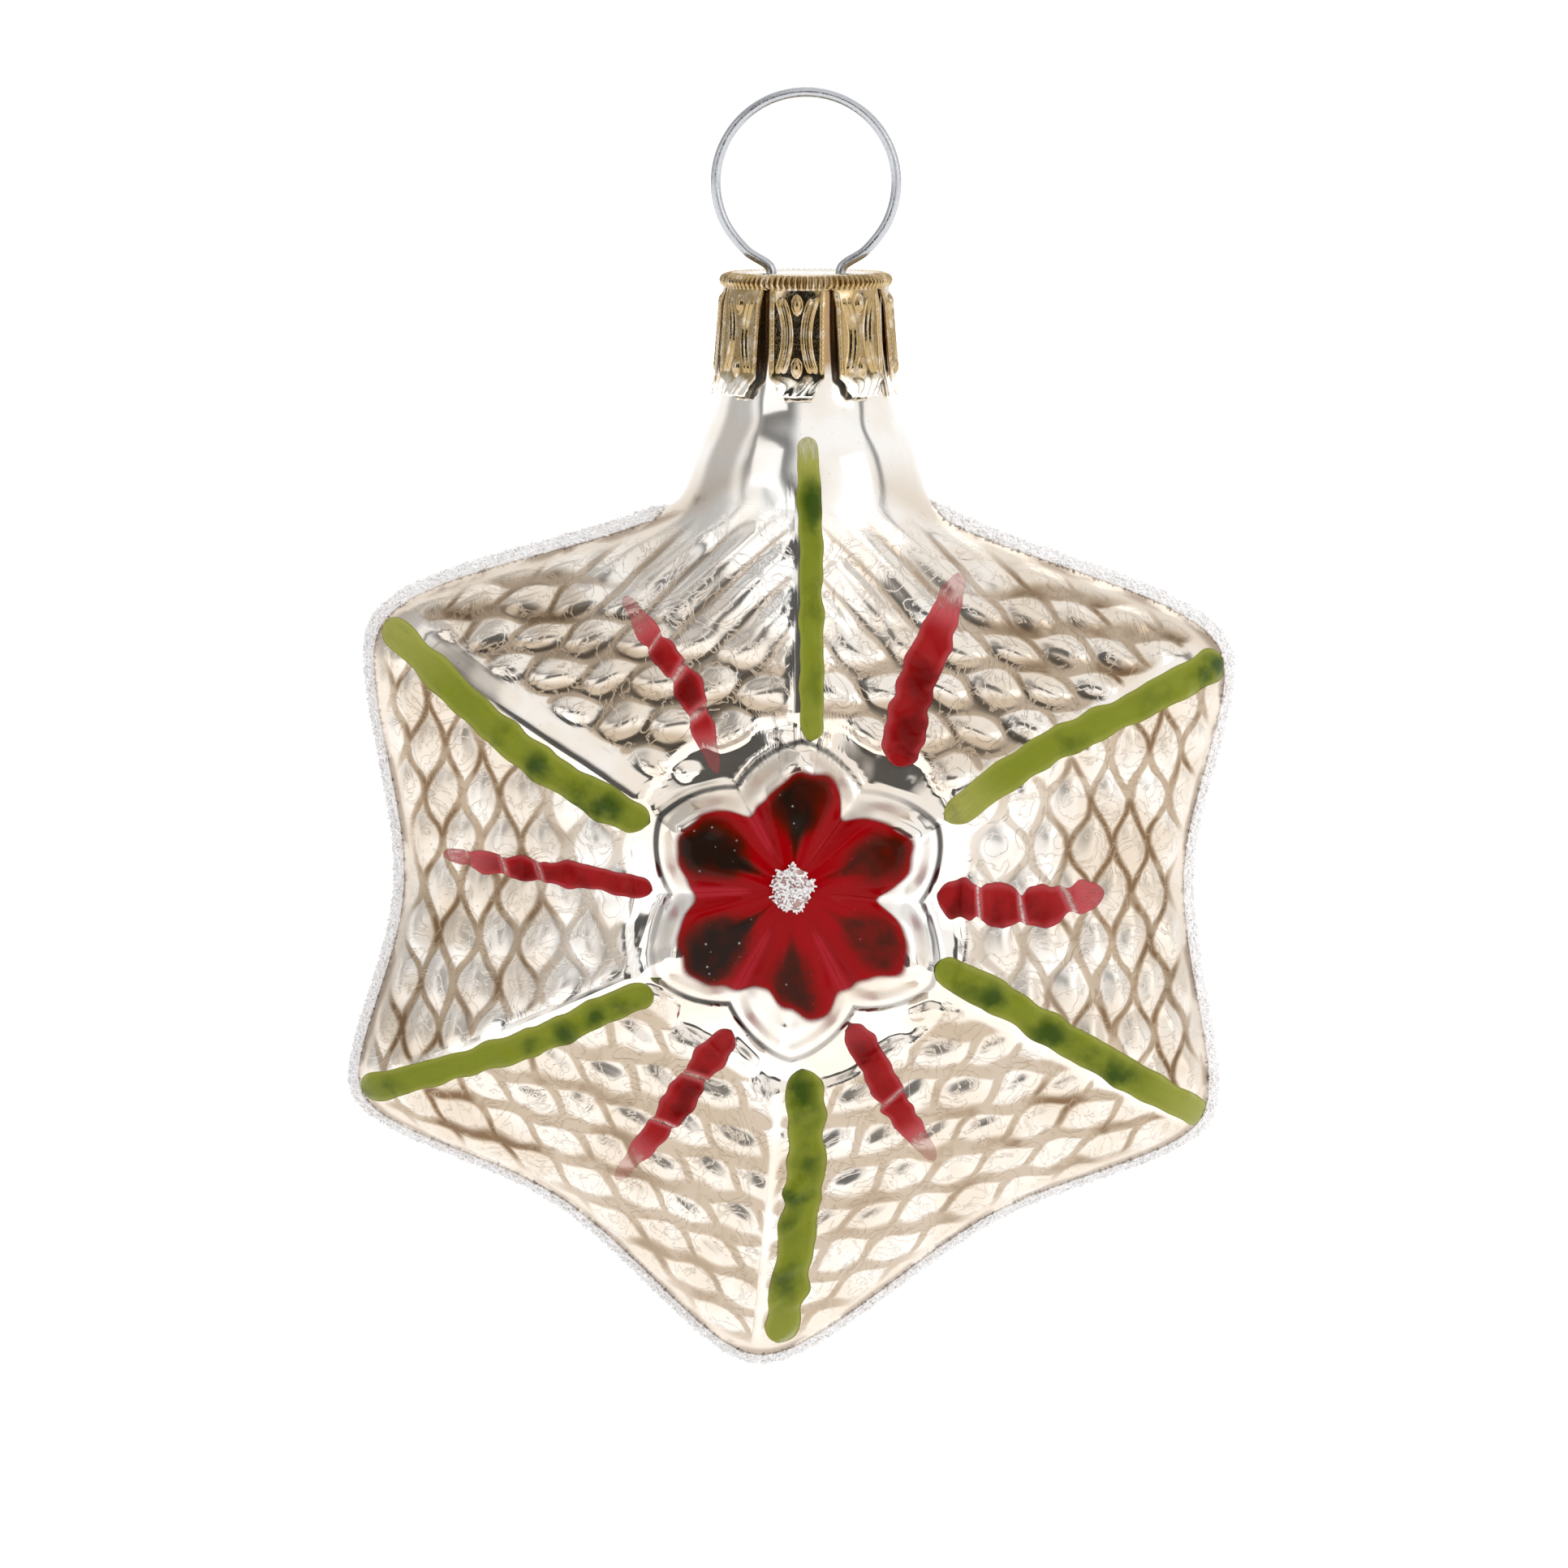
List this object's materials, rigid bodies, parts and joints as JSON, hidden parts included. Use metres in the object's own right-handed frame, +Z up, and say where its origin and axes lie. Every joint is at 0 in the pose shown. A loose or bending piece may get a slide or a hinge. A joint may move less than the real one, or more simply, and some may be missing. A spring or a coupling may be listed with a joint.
{
  "type": "glass star ornament",
  "caption": "Blown, silvered glass star with painted ridges, a raised rosette, a crown cap on its neck and a sprung wire loop to hang it by.",
  "frame": {"origin": "inside top of the wire loop, where a hook or thread carries the ornament", "axes": "+Z up along the neck, -Y out of the painted front, X across the star"},
  "size_m": [0.055, 0.0238, 0.0791],
  "materials": {
    "silvered_glass": "silvered inside, matt varnish outside",
    "cap_foil": "bright pressed foil",
    "hanger_steel": "bright drawn wire",
    "green_paint": "brushed lacquer",
    "red_paint": "brushed lacquer",
    "petal_lacquer": "clear dark red lacquer",
    "glitter": "fine glass glitter"
  },
  "bodies": {
    "hanger": {"wire_hanger": "hanger_steel"},
    "cap": {"crown_cap": "cap_foil"},
    "glass": {"glass_star": "silvered_glass", "green_stroke_top": "green_paint", "green_stroke_upper_right": "green_paint", "green_stroke_upper_left": "green_paint", "green_stroke_lower_left": "green_paint", "green_stroke_bottom": "green_paint", "green_stroke_lower_right": "green_paint", "red_stroke_right": "red_paint", "red_stroke_upper_right": "red_paint", "red_stroke_upper_left": "red_paint", "red_stroke_left": "red_paint", "red_stroke_lower_left": "red_paint", "red_stroke_lower_right": "red_paint", "petal_lacquer_top": "petal_lacquer", "petal_lacquer_upper_right": "petal_lacquer", "petal_lacquer_lower_right": "petal_lacquer", "petal_lacquer_bottom": "petal_lacquer", "petal_lacquer_lower_left": "petal_lacquer", "petal_lacquer_upper_left": "petal_lacquer", "centre_glitter": "glitter", "edge_glitter": "glitter"}
  },
  "joints": [
    {"name": "hanger_tilt", "type": "hinge", "parent": "hanger", "child": "cap", "pos_m": [0, 0, -0.01093], "axis": [1, 0, 0], "range_deg": [-15, 15]},
    {"name": "cap_pull_off", "type": "slide", "parent": "cap", "child": "glass", "axis": [0, 0, -1], "range_m": [0, 0.02]}
  ]
}
